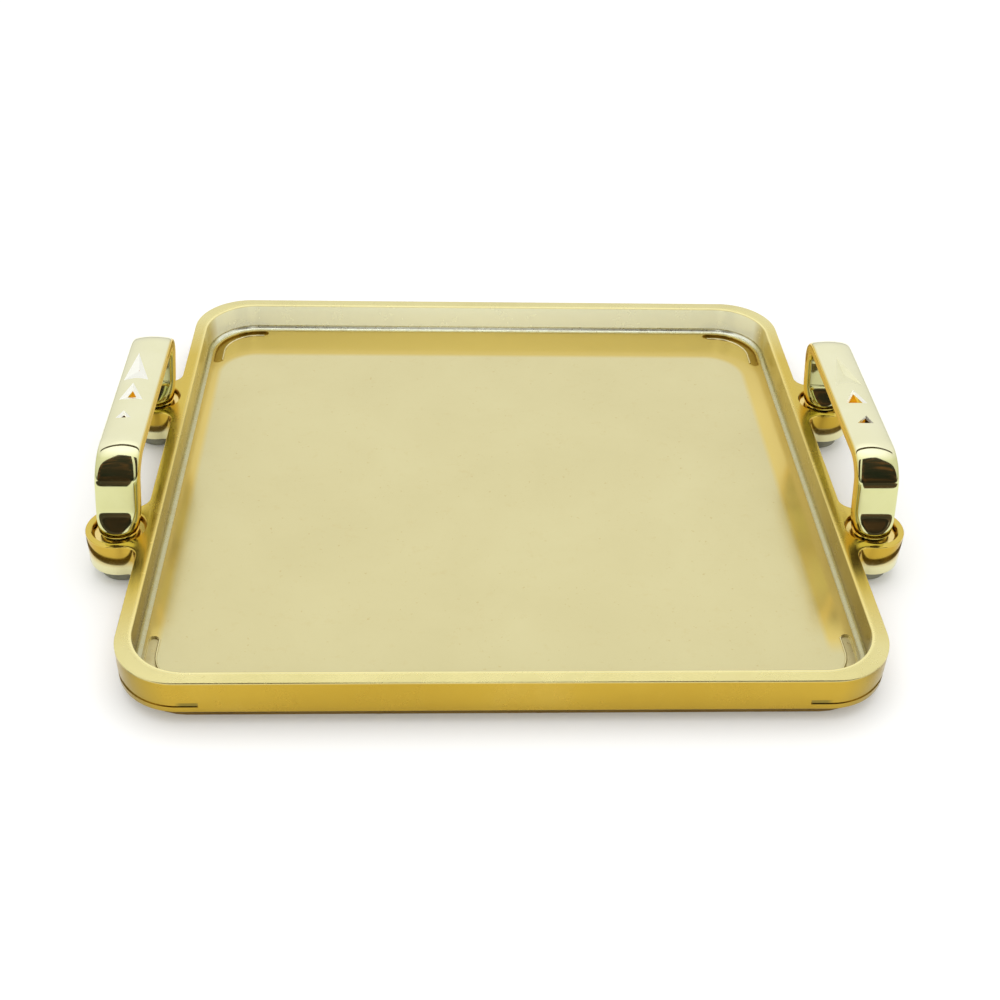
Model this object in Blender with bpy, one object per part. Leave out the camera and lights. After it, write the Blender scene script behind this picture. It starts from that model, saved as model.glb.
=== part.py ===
"""Rectangular brass serving tray: a cast gallery rail with four round lugs, a sheet floor let into
the rail from beneath, and two staple handles screwed on through the feet and the lugs."""

import math

import bmesh
import bpy
from mathutils import Matrix

# ---------------------------------------------------------------- driving dimensions, in metres
BODY_WIDTH = 0.400          # left to right over the rail's straight sides
BODY_DEPTH = 0.376          # front to back over the rail
RAIL_HEIGHT = 0.0204
RAIL_THICK = 0.0080         # width of the flat top of the rail
OUTER_CORNER = 0.0350
INNER_CORNER = 0.0315
EASED_EDGE = 0.0006

FIT_GAP = 0.0003            # clearance between pieces that touch
FOOT_HEIGHT = 0.0080
FOOT_RADIUS = 0.0140
RAIL_BOTTOM = FOOT_HEIGHT + FIT_GAP
RAIL_TOP = RAIL_BOTTOM + RAIL_HEIGHT

FLOOR_THICK = 0.0020
REBATE_WIDTH = 0.0040       # how far the floor sheet runs under the rail
REBATE_ROOF = RAIL_BOTTOM + FLOOR_THICK + FIT_GAP
FLOOR_GROOVE_OUTER = 0.0270   # radii of the arc groove in each corner of the floor
FLOOR_GROOVE_INNER = 0.0220
FLOOR_GROOVE_DEPTH = 0.0013
FLOOR_GROOVE_RUN_X = 0.0040   # how far a groove runs on past its arc, along X and along Y
FLOOR_GROOVE_RUN_Y = 0.0110
GROOVE_BOTTOM = RAIL_BOTTOM + 0.0036
GROOVE_HEIGHT = 0.0030
GROOVE_DEPTH = 0.0018
GROOVE_RUN = 0.0090         # how far each outer groove runs on past the corner's arc

LUG_X = 0.2132
LUG_Y = 0.0652
LUG_RADIUS = 0.0185
LUG_FILLET = 0.0080
RECESS_RADIUS = 0.0149
RECESS_DEPTH = 0.0054
BORE_RADIUS = 0.0029

COLLAR_RADIUS = 0.0140
COLLAR_THICK = 0.0018
COLLAR_BOTTOM = RAIL_TOP - RECESS_DEPTH + FIT_GAP
LEG_BOTTOM = COLLAR_BOTTOM + COLLAR_THICK + FIT_GAP

HANDLE_WIDTH = 0.0240       # across the hand, along X
HANDLE_THICK = 0.0096
HANDLE_TOP = RAIL_BOTTOM + 0.0708
HANDLE_REACH = 0.0700       # from the middle to a leg's outer face
LEG_FOOT_THICK = 0.0190
LEG_FLARE_TOP = LEG_BOTTOM + 0.0280
BEND_RADIUS = 0.0200
HANDLE_ROUND = 0.0038
LEG_FOOT_NARROWING = 0.08   # share of its width that a leg loses at its foot
HANDLE_LEAN = 0.100         # how far inward the handle goes for each unit of height
LEG_HOLE_DEPTH = 0.0130
CARVED_DEPTH = 0.0022

SCREW_RADIUS = 0.0025
SCREW_HEAD_RADIUS = 0.0046
SCREW_HEAD_HEIGHT = 0.0022
SCREW_HEAD_BOTTOM = 0.0006
DRIVER_SLOT_WIDTH = 0.0012
DRIVER_SLOT_DEPTH = 0.0010
WASHER_RADIUS = 0.0058
WASHER_THICK = 0.0010
WASHER_BOTTOM = SCREW_HEAD_BOTTOM + SCREW_HEAD_HEIGHT + FIT_GAP
FOOT_RECESS_RADIUS = 0.0064
FOOT_RECESS_TOP = WASHER_BOTTOM + WASHER_THICK + FIT_GAP

ARC_STEPS = 12
ROUND_STEPS = 32

# the three carved triangles on each handle's top: Y of the point, Y of the base, width of the base
CARVED = ((0.0340, 0.0100, 0.0124), (0.0030, -0.0128, 0.0122), (-0.0262, -0.0340, 0.0092))

SIDES = (("left", -1), ("right", 1))
ENDS = (("front", -1), ("back", 1))


# ---------------------------------------------------------------- scene, materials, collections
for old in list(bpy.data.objects):
    bpy.data.objects.remove(old, do_unlink=True)

tray = bpy.data.collections.new("brass_tray")
bpy.context.scene.collection.children.link(tray)


def make_material(name, color, roughness, metallic):
    """One Principled material; color is linear RGB."""
    made = bpy.data.materials.new(name)
    made.use_nodes = True
    shader = made.node_tree.nodes["Principled BSDF"]
    shader.inputs["Base Color"].default_value = (*color, 1.0)
    shader.inputs["Roughness"].default_value = roughness
    shader.inputs["Metallic"].default_value = metallic
    made.diffuse_color = (*color, 1.0)
    return made


MATERIALS = {
    "satin_brass": ((0.80, 0.62, 0.22), 0.34, 1.0),
    "floor_brass": ((0.66, 0.56, 0.30), 0.30, 1.0),
    "polished_brass": ((0.88, 0.70, 0.26), 0.08, 1.0),
    "collar_brass": ((0.82, 0.60, 0.20), 0.16, 1.0),
    "grey_rubber": ((0.16, 0.16, 0.13), 0.80, 0.0),
    "zinc_steel": ((0.56, 0.55, 0.52), 0.36, 1.0),
}


# ---------------------------------------------------------------- outlines
def arc(cx, cy, radius, start, end, steps=ARC_STEPS):
    """Points round an arc, angles in degrees, both ends included."""
    points = []
    for step in range(steps + 1):
        angle = math.radians(start + (end - start) * step / steps)
        points.append((cx + radius * math.cos(angle), cy + radius * math.sin(angle)))
    return points


def rounded_rectangle(half_x, half_y, radius):
    points = []
    for sx, sy, start in ((1, 1, 0), (-1, 1, 90), (-1, -1, 180), (1, -1, 270)):
        points += arc(sx * (half_x - radius), sy * (half_y - radius), radius, start, start + 90)
    return points


def lug_bulge(cy):
    """The rail's right-hand side round one lug, going up in Y: fillet, lug, fillet."""
    wall = BODY_WIDTH / 2
    fillet_x = wall + LUG_FILLET
    span = LUG_RADIUS + LUG_FILLET
    rise = math.sqrt(span**2 - (fillet_x - LUG_X) ** 2)
    meet = math.degrees(math.atan2(rise, fillet_x - LUG_X))
    below = arc(fillet_x, cy - rise, LUG_FILLET, 180, 180 - meet, 6)
    around = arc(LUG_X, cy, LUG_RADIUS, -meet, meet, 22)[1:-1]
    above = arc(fillet_x, cy + rise, LUG_FILLET, 180 + meet, 180, 6)
    return below + around + above


def rail_outline():
    """The rail's outer edge seen from above, anticlockwise, with two lugs on each side."""
    half_x, half_y, radius = BODY_WIDTH / 2, BODY_DEPTH / 2, OUTER_CORNER
    right = arc(half_x - radius, radius - half_y, radius, 270, 360)
    right += lug_bulge(-LUG_Y) + lug_bulge(LUG_Y)
    right += arc(half_x - radius, half_y - radius, radius, 0, 90)
    left = [(-x, -y) for x, y in right]
    return right + left


def handle_outline():
    """The staple seen from the side, as (y, z): legs that thicken into their feet, round bends."""
    outer, inner = HANDLE_REACH, HANDLE_REACH - HANDLE_THICK
    top, under = HANDLE_TOP, HANDLE_TOP - HANDLE_THICK
    foot_outer = LUG_Y + LEG_FOOT_THICK / 2
    foot_inner = LUG_Y - LEG_FOOT_THICK / 2
    inside_bend = BEND_RADIUS - HANDLE_THICK
    flare = LEG_FLARE_TOP - LEG_BOTTOM
    blend = [(t, t * t * (3 - 2 * t)) for t in (0.0, 0.2, 0.4, 0.6, 0.8, 1.0)]
    up_outside = [(foot_outer + (outer - foot_outer) * s, LEG_BOTTOM + flare * t) for t, s in blend]
    up_inside = [(foot_inner + (inner - foot_inner) * s, LEG_BOTTOM + flare * t) for t, s in blend]
    centre = outer - BEND_RADIUS
    half = up_outside + arc(centre, top - BEND_RADIUS, BEND_RADIUS, 0, 90, 10)
    back = arc(centre, under - inside_bend, inside_bend, 90, 0, 8) + up_inside[::-1]
    mirrored_half = [(-y, z) for y, z in half[::-1]]
    mirrored_back = [(-y, z) for y, z in back[::-1]]
    return half + mirrored_half + mirrored_back + back


# ---------------------------------------------------------------- solids
def mesh_of(source, name):
    """The evaluated mesh of an object as a new mesh in world space; the object is removed."""
    bpy.context.view_layer.update()
    graph = bpy.context.evaluated_depsgraph_get()
    mesh = bpy.data.meshes.new_from_object(source.evaluated_get(graph))
    mesh.transform(source.matrix_world)
    mesh.name = name
    bpy.data.objects.remove(source, do_unlink=True)
    return mesh


def object_of(name, mesh):
    made = bpy.data.objects.new(name, mesh)
    tray.objects.link(made)
    return made


def welded(made):
    shape = bmesh.new()
    shape.from_mesh(made.data)
    bmesh.ops.remove_doubles(shape, verts=shape.verts, dist=0.00002)
    bmesh.ops.recalc_face_normals(shape, faces=shape.faces)
    shape.to_mesh(made.data)
    shape.free()
    return made


def prism(name, outlines, bottom, top, eased=0.0):
    """A flat outline, with holes for any outline after the first, as an upright prism."""
    curve = bpy.data.curves.new(name, "CURVE")
    curve.dimensions = "2D"
    curve.fill_mode = "BOTH"
    curve.extrude = (top - bottom) / 2 - eased
    curve.bevel_depth = eased
    curve.bevel_resolution = 1
    curve.offset = -eased
    for outline in outlines:
        spline = curve.splines.new("POLY")
        spline.points.add(len(outline) - 1)
        for point, (x, y) in zip(spline.points, outline):
            point.co = (x, y, 0.0, 1.0)
        spline.use_cyclic_u = True
    source = bpy.data.objects.new(name, curve)
    tray.objects.link(source)
    source.location.z = (top + bottom) / 2
    return welded(object_of(name, mesh_of(source, name)))


def cylinder(name, x, y, radius, bottom, top, steps=ROUND_STEPS):
    shape = bmesh.new()
    place = Matrix.Translation((x, y, (top + bottom) / 2))
    bmesh.ops.create_cone(
        shape, cap_ends=True, segments=steps, radius1=radius, radius2=radius,
        depth=top - bottom, matrix=place,
    )
    mesh = bpy.data.meshes.new(name)
    shape.to_mesh(mesh)
    shape.free()
    return object_of(name, mesh)


def combine(target, others, operation="DIFFERENCE"):
    """Cuts the others from the target, or joins them to it, and removes them."""
    for other in others:
        step = target.modifiers.new("combine", "BOOLEAN")
        step.operation = operation
        step.solver = "EXACT"
        step.object = other
    name = target.name
    target.name = name + "_blank"
    made = object_of(name, mesh_of(target, name))
    for other in others:
        bpy.data.objects.remove(other, do_unlink=True)
    return welded(made)


def finish(made, material_name):
    """Gives a piece its material and smooth shading with sharp edges kept."""
    material = bpy.data.materials.get(material_name)
    if material is None:
        material = make_material(material_name, *MATERIALS[material_name])
    made.data.materials.clear()
    made.data.materials.append(material)
    made.data.shade_smooth()
    made.data.set_sharp_from_angle(angle=math.radians(35))
    return made


# ---------------------------------------------------------------- the rail and the floor
def corner_band(sx, sy, centre, radii, runs):
    """A band that follows one corner between two radii and runs on past it, with round ends."""
    cx, cy = centre
    inside, outside = radii
    run_x, run_y = runs
    middle, half = (outside + inside) / 2, (outside - inside) / 2
    outline = arc(cx, cy, outside, 0, 90)
    outline += arc(cx - run_x, cy + middle, half, 90, 270, 6)
    outline += arc(cx, cy, inside, 90, 0)
    outline += arc(cx + middle, cy - run_y, half, 180, 360, 6)
    return [(sx * x, sy * y) for x, y in outline]


def corner_groove(sx, sy):
    """A cutter for the shallow groove low on the outside of one corner of the rail."""
    centre = (BODY_WIDTH / 2 - OUTER_CORNER, BODY_DEPTH / 2 - OUTER_CORNER)
    beyond = 0.0037
    radii = (OUTER_CORNER - GROOVE_DEPTH, OUTER_CORNER + beyond)
    outline = corner_band(sx, sy, centre, radii, (GROOVE_RUN, GROOVE_RUN))
    return prism("groove_cutter", [outline], GROOVE_BOTTOM, GROOVE_BOTTOM + GROOVE_HEIGHT)


def make_rail():
    inner = rounded_rectangle(
        BODY_WIDTH / 2 - RAIL_THICK, BODY_DEPTH / 2 - RAIL_THICK, INNER_CORNER
    )
    rail = prism("gallery_rail", [rail_outline(), inner], RAIL_BOTTOM, RAIL_TOP, EASED_EDGE)
    reach = REBATE_WIDTH - RAIL_THICK
    rebate = rounded_rectangle(
        BODY_WIDTH / 2 + reach, BODY_DEPTH / 2 + reach, INNER_CORNER + REBATE_WIDTH - 0.002
    )
    cutters = [prism("rebate_cutter", [rebate], RAIL_BOTTOM - 0.001, REBATE_ROOF)]
    for _, sx in SIDES:
        for _, sy in ENDS:
            cutters.append(corner_groove(sx, sy))
            x, y = sx * LUG_X, sy * LUG_Y
            recess_floor = RAIL_TOP - RECESS_DEPTH
            cutters.append(
                cylinder("recess_cutter", x, y, RECESS_RADIUS, recess_floor, RAIL_TOP + 0.001, 40)
            )
            cutters.append(
                cylinder("bore_cutter", x, y, BORE_RADIUS, RAIL_BOTTOM - 0.001, RAIL_TOP, 20)
            )
    return finish(combine(rail, cutters), "satin_brass")


def make_floor():
    reach = REBATE_WIDTH - RAIL_THICK - FIT_GAP
    outline = rounded_rectangle(
        BODY_WIDTH / 2 + reach, BODY_DEPTH / 2 + reach, INNER_CORNER + REBATE_WIDTH - 0.002
    )
    centre = (
        BODY_WIDTH / 2 - RAIL_THICK - INNER_CORNER, BODY_DEPTH / 2 - RAIL_THICK - INNER_CORNER
    )
    radii = (FLOOR_GROOVE_INNER, FLOOR_GROOVE_OUTER)
    runs = (FLOOR_GROOVE_RUN_X, FLOOR_GROOVE_RUN_Y)
    top = RAIL_BOTTOM + FLOOR_THICK
    grooves = []
    for _, sx in SIDES:
        for _, sy in ENDS:
            band = corner_band(sx, sy, centre, radii, runs)
            grooves.append(prism("groove_cutter", [band], top - FLOOR_GROOVE_DEPTH, top + 0.001))
    sheet = prism("floor_sheet", [outline], RAIL_BOTTOM, top)
    return finish(combine(sheet, grooves), "floor_brass")


# ---------------------------------------------------------------- handles and their fastenings
def carved_cutter(tip_y, base_y, width):
    """A three-sided pyramid, point down, that cuts one triangle into the top of a handle."""
    shape = bmesh.new()
    above = 0.0010
    depth = CARVED_DEPTH + above
    bmesh.ops.create_cone(
        shape, cap_ends=True, segments=3, radius1=0.0, radius2=1.0, depth=depth
    )
    bmesh.ops.rotate(shape, verts=shape.verts, matrix=Matrix.Rotation(math.radians(90), 3, "Z"))
    spread = depth / CARVED_DEPTH
    tip = max(v.co.y for v in shape.verts)
    turn = 1.0 if tip > 0.9 else -1.0
    length = (tip_y - base_y) * spread
    stretch = Matrix.Diagonal((width * spread / math.sqrt(3), turn * length / 1.5, 1.0, 1.0))
    middle = (tip_y + base_y) / 2 - length / 4 * 2 / 3
    lift = Matrix.Translation((0.0, middle, HANDLE_TOP + above - depth / 2))
    bmesh.ops.transform(shape, verts=shape.verts, matrix=lift @ stretch)
    bmesh.ops.recalc_face_normals(shape, faces=shape.faces)
    mesh = bpy.data.meshes.new("carved_cutter")
    shape.to_mesh(mesh)
    shape.free()
    return object_of("carved_cutter", mesh)


def make_handle(side, sx):
    """One staple handle, drawn upright at X = 0, then leaned inward and moved over its lugs."""
    name = "handle_" + side
    blank = prism(
        name, [handle_outline()], -HANDLE_WIDTH / 2, HANDLE_WIDTH / 2, HANDLE_ROUND
    )
    upright = Matrix(((0, 0, 1, 0), (1, 0, 0, 0), (0, 1, 0, 0), (0, 0, 0, 1)))
    blank.data.transform(upright)
    for vertex in blank.data.vertices:
        up = (vertex.co.z - LEG_BOTTOM) / (LEG_FLARE_TOP - LEG_BOTTOM)
        vertex.co.x *= 1 - LEG_FOOT_NARROWING * (1 - min(max(up, 0.0), 1.0))
    cutters = [carved_cutter(*triangle) for triangle in CARVED]
    handle = combine(blank, cutters)
    lean = Matrix.Identity(4)
    lean[0][2] = -sx * HANDLE_LEAN
    lean[0][3] = sx * (LUG_X + HANDLE_LEAN * LEG_BOTTOM)
    handle.data.transform(lean)
    holes = []
    for _, sy in ENDS:
        holes.append(
            cylinder(
                "hole_cutter", sx * LUG_X, sy * LUG_Y, SCREW_RADIUS + FIT_GAP,
                LEG_BOTTOM - 0.001, LEG_BOTTOM + LEG_HOLE_DEPTH, 20,
            )
        )
    return finish(combine(handle, holes), "polished_brass")


def ring(name, x, y, radius, hole, bottom, top, material_name):
    disc = cylinder(name, x, y, radius, bottom, top)
    cutter = cylinder("hole_cutter", x, y, hole, bottom - 0.001, top + 0.001, 20)
    return finish(combine(disc, [cutter]), material_name)


def make_foot(name, x, y):
    foot = cylinder(name, x, y, FOOT_RADIUS, 0.0, FOOT_HEIGHT, 40)
    recess = cylinder("recess_cutter", x, y, FOOT_RECESS_RADIUS, -0.001, FOOT_RECESS_TOP, 24)
    bore = cylinder("bore_cutter", x, y, BORE_RADIUS, 0.001, FOOT_HEIGHT + 0.001, 20)
    return finish(combine(foot, [recess, bore]), "grey_rubber")


def make_screw(name, x, y):
    head_top = SCREW_HEAD_BOTTOM + SCREW_HEAD_HEIGHT
    tip = LEG_BOTTOM + LEG_HOLE_DEPTH - 0.001
    head = cylinder(name, x, y, SCREW_HEAD_RADIUS, SCREW_HEAD_BOTTOM, head_top, 24)
    shank = cylinder("shank", x, y, SCREW_RADIUS, head_top - 0.0005, tip, 20)
    screw = combine(head, [shank], "UNION")
    half_length = SCREW_HEAD_RADIUS + 0.001
    half_width = DRIVER_SLOT_WIDTH / 2
    outline = [
        (x - half_length, y - half_width), (x + half_length, y - half_width),
        (x + half_length, y + half_width), (x - half_length, y + half_width),
    ]
    slot_top = SCREW_HEAD_BOTTOM + DRIVER_SLOT_DEPTH
    slot = prism("driver_cutter", [outline], SCREW_HEAD_BOTTOM - 0.001, slot_top)
    return finish(combine(screw, [slot]), "zinc_steel")


make_rail()
make_floor()
for side, sx in SIDES:
    make_handle(side, sx)
    for end, sy in ENDS:
        x, y = sx * LUG_X, sy * LUG_Y
        place = "_" + end + "_" + side
        ring("leg_collar" + place, x, y, COLLAR_RADIUS, BORE_RADIUS,
             COLLAR_BOTTOM, COLLAR_BOTTOM + COLLAR_THICK, "collar_brass")
        ring("washer" + place, x, y, WASHER_RADIUS, BORE_RADIUS,
             WASHER_BOTTOM, WASHER_BOTTOM + WASHER_THICK, "zinc_steel")
        make_foot("foot" + place, x, y)
        make_screw("screw" + place, x, y)
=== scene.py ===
"""The brass tray's visible pieces, materials, stage, lights and camera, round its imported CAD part."""
import math

import bmesh
import bpy
import numpy as np
from mathutils import Matrix, Vector


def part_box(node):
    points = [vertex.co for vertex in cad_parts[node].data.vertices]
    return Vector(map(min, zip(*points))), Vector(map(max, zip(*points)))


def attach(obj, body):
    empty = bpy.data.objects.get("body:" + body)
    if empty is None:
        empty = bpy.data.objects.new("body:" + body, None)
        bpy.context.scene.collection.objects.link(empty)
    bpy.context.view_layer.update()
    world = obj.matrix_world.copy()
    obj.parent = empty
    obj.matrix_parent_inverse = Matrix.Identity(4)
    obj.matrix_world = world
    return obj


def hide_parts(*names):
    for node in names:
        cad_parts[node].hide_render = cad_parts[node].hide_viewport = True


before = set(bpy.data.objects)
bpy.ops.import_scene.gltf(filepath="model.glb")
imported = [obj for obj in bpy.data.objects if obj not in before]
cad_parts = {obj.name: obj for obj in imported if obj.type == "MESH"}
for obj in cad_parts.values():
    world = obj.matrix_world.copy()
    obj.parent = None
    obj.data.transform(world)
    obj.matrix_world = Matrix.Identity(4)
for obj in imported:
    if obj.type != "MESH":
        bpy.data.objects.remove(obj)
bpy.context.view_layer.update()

# ---------------------------------------------------------------- sizes, in metres
BODY_WIDTH = 0.400
BODY_DEPTH = 0.376
RAIL_THICK = 0.0080
OUTER_CORNER = 0.0350
INNER_CORNER = 0.0315
RAIL_BOTTOM = 0.0083
RAIL_TOP = 0.0287
EASED = 0.0007
GAP = 0.0003

# The centre of the inner curve at the back right corner; the others mirror it.
CORNER_CENTRE = (BODY_WIDTH / 2 - RAIL_THICK - INNER_CORNER, BODY_DEPTH / 2 - RAIL_THICK - INNER_CORNER)

FLOOR_THICK = 0.0020
FLOOR_TOP = RAIL_BOTTOM + FLOOR_THICK
REBATE = 0.0040
SLOT_RADII = (0.0220, 0.0270)
SLOT_RUNS = (0.0040, 0.0110)
SLOT_DEPTH = 0.0013
RIM_STEP = 0.0004
GROOVE_BOTTOM = RAIL_BOTTOM + 0.0036
GROOVE_HEIGHT = 0.0030
GROOVE_DEPTH = 0.0005
GROOVE_RUN = 0.0090

LUG_X = 0.2132
LUG_Y = 0.0652
LUG_RADIUS = 0.0185
LUG_FILLET = 0.0080
RECESS_RADIUS = 0.0149
RECESS_FLOOR = RAIL_TOP - 0.0054
BORE = 0.0029
COLLAR_RADIUS = 0.0140
COLLAR_BOTTOM = RECESS_FLOOR + GAP
COLLAR_TOP = COLLAR_BOTTOM + 0.0018
LEG_BOTTOM = COLLAR_TOP + GAP

HANDLE_WIDTH = 0.0240
HANDLE_THICK = 0.0096
HANDLE_TOP = RAIL_BOTTOM + 0.0708
HANDLE_REACH = 0.0700
BEND_RADIUS = 0.0200
LEG_FOOT_THICK = 0.0190
LEG_FLARE = 0.0185
LEG_NARROWING = 0.08
HANDLE_LEAN = 0.100
HANDLE_CROWN = 0.0021
SECTION_STEPS = 144
GRIP_SQUARENESS = 6.5
FOOT_SQUARENESS = 2.25
FOOT_ROUNDING = 0.0026
BEVEL_DEPTH = 0.0016
CORE_DEPTH = 0.0050
CUTTER_RISE = 0.0012
# Each carved triangle: the Y of its tip and base, its width, the share its deep middle takes,
# how far it stands off the middle of the grip, and how far its tip leans.
CARVED = {
    "left": (
        (0.0361, 0.0098, 0.0118, 0.04, -0.0018, -0.0028),
        (0.0041, -0.0120, 0.0124, 0.40, -0.0014, -0.0013),
        (-0.0241, -0.0308, 0.0082, 0.42, -0.0024, -0.0008),
    ),
    "right": (
        (0.0372, 0.0094, 0.0130, 0.04, 0.0, -0.0008),
        (0.0010, -0.0122, 0.0124, 0.72, 0.0, 0.0008),
        (-0.0258, -0.0330, 0.0092, 0.80, 0.0002, 0.0020),
    ),
}

LIP_RADIUS = 0.00062
SEAM_RADIUS = 0.0027
FOOT_RADIUS = 0.0140
FOOT_HOLLOW = 0.0064
FOOT_FLOOR = 0.0044
WASHER_RADIUS = 0.0058
SCREW_HEAD = 0.0046
SCREW_SHANK = 0.0025
SCREW_PITCH = 0.0008

SIDES = (("left", -1), ("right", 1))
ENDS = (("front", -1), ("back", 1))


# ---------------------------------------------------------------- outlines and solids
def arc(cx, cy, radius, start, end, steps):
    """Points round an arc, angles in degrees, both ends included."""
    angles = np.radians(np.linspace(start, end, steps + 1))
    return [(cx + radius * math.cos(a), cy + radius * math.sin(a)) for a in angles]


def rounded_rectangle(half_x, half_y, radius, steps=32):
    """Points anticlockwise round a rectangle about the origin."""
    points = []
    for sx, sy, start in ((1, 1, 0), (-1, 1, 90), (-1, -1, 180), (1, -1, 270)):
        points += arc(sx * (half_x - radius), sy * (half_y - radius), radius, start, start + 90, steps)
    return points


def lug_bulge(cy):
    """The rail's right-hand side round one lug, going up in Y: fillet, lug, fillet."""
    fillet_x = BODY_WIDTH / 2 + LUG_FILLET
    rise = math.sqrt((LUG_RADIUS + LUG_FILLET) ** 2 - (fillet_x - LUG_X) ** 2)
    meet = math.degrees(math.atan2(rise, fillet_x - LUG_X))
    below = arc(fillet_x, cy - rise, LUG_FILLET, 180, 180 - meet, 16)
    around = arc(LUG_X, cy, LUG_RADIUS, -meet, meet, 56)[1:-1]
    above = arc(fillet_x, cy + rise, LUG_FILLET, 180 + meet, 180, 16)
    return below + around + above


def rail_outline():
    """The rail's outside with its four lugs; the left half is the right half turned round."""
    half_x, half_y, radius = BODY_WIDTH / 2, BODY_DEPTH / 2, OUTER_CORNER
    right = arc(half_x - radius, radius - half_y, radius, 270, 360, 32)
    right += lug_bulge(-LUG_Y) + lug_bulge(LUG_Y)
    right += arc(half_x - radius, half_y - radius, radius, 0, 90, 32)
    return right + [(-x, -y) for x, y in right]


def corner_band(sx, sy, centre, radii, runs):
    """A band that follows one corner between two radii and runs on past it, with round ends."""
    cx, cy = centre
    inside, outside = radii
    middle, half = (outside + inside) / 2, (outside - inside) / 2
    outline = arc(cx, cy, outside, 0, 90, 24)
    outline += arc(cx - runs[0], cy + middle, half, 90, 270, 12)
    outline += arc(cx, cy, inside, 90, 0, 24)
    outline += arc(cx + middle, cy - runs[1], half, 180, 360, 12)
    return [(sx * x, sy * y) for x, y in outline]


def link(name, data):
    made = bpy.data.objects.new(name, data)
    bpy.context.scene.collection.objects.link(made)
    return made


def tidy(mesh, distance=0.00001):
    """Joins points closer than the distance and turns all faces outwards."""
    shape = bmesh.new()
    shape.from_mesh(mesh)
    bmesh.ops.remove_doubles(shape, verts=shape.verts, dist=distance)
    bmesh.ops.recalc_face_normals(shape, faces=shape.faces)
    shape.to_mesh(mesh)
    shape.free()


def baked(source, name):
    """The object with its modifiers applied, as a new mesh object; the old one is removed."""
    bpy.context.view_layer.update()
    graph = bpy.context.evaluated_depsgraph_get()
    mesh = bpy.data.meshes.new_from_object(source.evaluated_get(graph))
    mesh.transform(source.matrix_world)
    bpy.data.objects.remove(source, do_unlink=True)
    tidy(mesh)
    mesh.name = name
    return link(name, mesh)


def prism(name, outlines, bottom, top, eased=0.0, rings=2):
    """Flat outlines, the later ones as holes, raised from bottom to top with eased edges."""
    curve = bpy.data.curves.new(name, "CURVE")
    curve.dimensions = "2D"
    curve.fill_mode = "BOTH"
    curve.extrude = (top - bottom) / 2 - eased
    curve.bevel_depth = eased
    curve.bevel_resolution = rings
    curve.offset = -eased
    for outline in outlines:
        spline = curve.splines.new("POLY")
        spline.points.add(len(outline) - 1)
        for point, (x, y) in zip(spline.points, outline):
            point.co = (x, y, 0.0, 1.0)
        spline.use_cyclic_u = True
    source = link(name + "_curve", curve)
    source.location.z = (top + bottom) / 2
    return baked(source, name)


def turned(name, x, y, profile, steps=64):
    """A closed (radius, z) profile turned round a vertical line; radius 0 closes on the axis."""
    points, faces, rows = [], [], []
    for radius, z in profile:
        if radius == 0:
            rows.append([len(points)] * steps)
            points.append((x, y, z))
            continue
        rows.append(list(range(len(points), len(points) + steps)))
        for step in range(steps):
            angle = 2 * math.pi * step / steps
            points.append((x + radius * math.cos(angle), y + radius * math.sin(angle), z))
    count = len(rows)
    closed = profile[0][0] != 0
    for i in range(count if closed else count - 1):
        a, b = rows[i], rows[(i + 1) % count]
        for j in range(steps):
            k = (j + 1) % steps
            corners = [a[j], a[k], b[k], b[j]]
            unique = list(dict.fromkeys(corners))
            if len(unique) > 2:
                faces.append(unique)
    mesh = bpy.data.meshes.new(name)
    mesh.from_pydata(points, [], faces)
    tidy(mesh)
    return link(name, mesh)


def carve(target, others, name):
    """The target less the other solids, which are removed."""
    for other in others:
        step = target.modifiers.new("carve", "BOOLEAN")
        step.operation = "DIFFERENCE"
        step.solver = "EXACT"
        step.object = other
    made = baked(target, name)
    for other in others:
        bpy.data.objects.remove(other, do_unlink=True)
    return made


def piece(made, material, node=None, sharp=12):
    """Finishes one visible piece: material, shading, body, and the CAD node it stands for."""
    made.data.materials.clear()
    made.data.materials.append(material)
    made.data.shade_smooth()
    made.data.set_sharp_from_angle(angle=math.radians(sharp))
    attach(made, "root")
    if node:
        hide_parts(node)
    return made


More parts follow.
